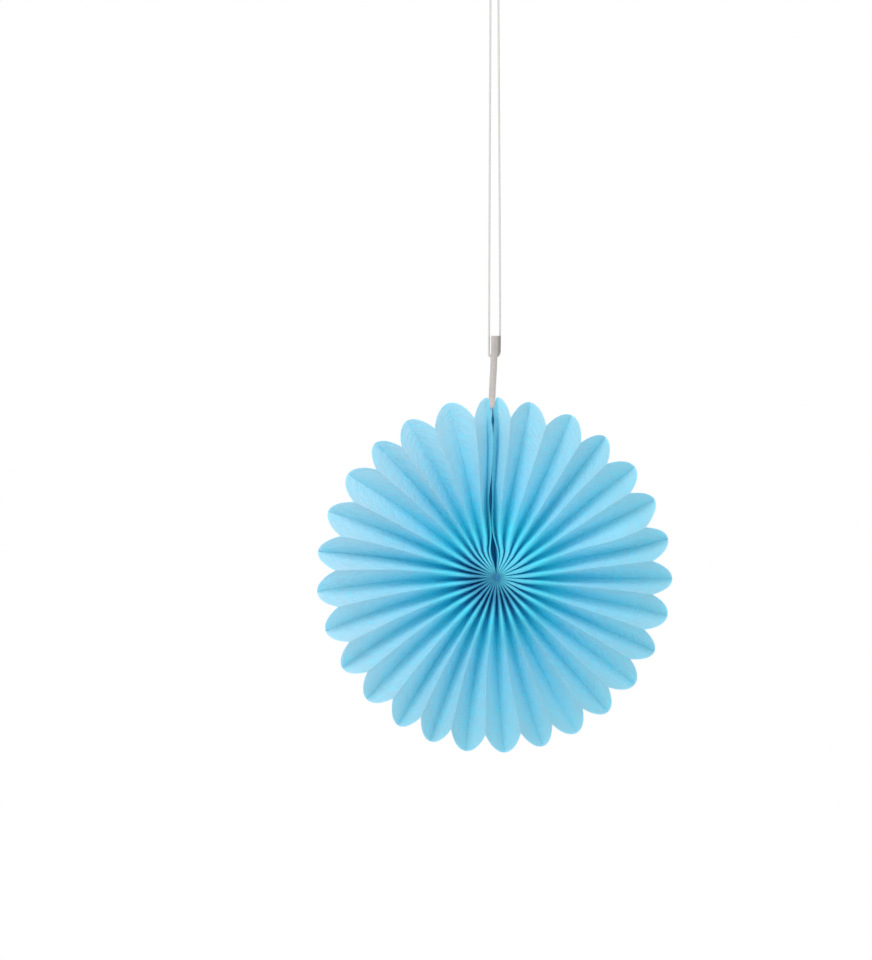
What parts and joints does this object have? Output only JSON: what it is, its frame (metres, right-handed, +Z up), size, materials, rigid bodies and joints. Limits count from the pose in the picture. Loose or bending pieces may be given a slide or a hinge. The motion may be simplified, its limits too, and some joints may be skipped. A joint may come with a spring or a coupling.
{
  "type": "paper fan rosette",
  "caption": "Hanging paper fan rosette: a pleated tissue disc with a scalloped rim, closed at a seam, on a short cloth strap and a loop of string.",
  "frame": {"origin": "inside top of the string loop, where it hangs on its hook", "axes": "+Z up along the string, -Y out of the front of the disc towards the viewer, +X to the viewer's right"},
  "size_m": [0.1524, 0.013, 0.3321],
  "materials": {
    "tissue": "matte",
    "glue": "satin",
    "tape": "matte",
    "string": "matte"
  },
  "bodies": {
    "root": {"pleated_fan": "tissue", "seam_glue": "glue", "centre_glue": "glue", "hanging_strap": "tape", "hanging_string": "string"}
  },
  "joints": []
}
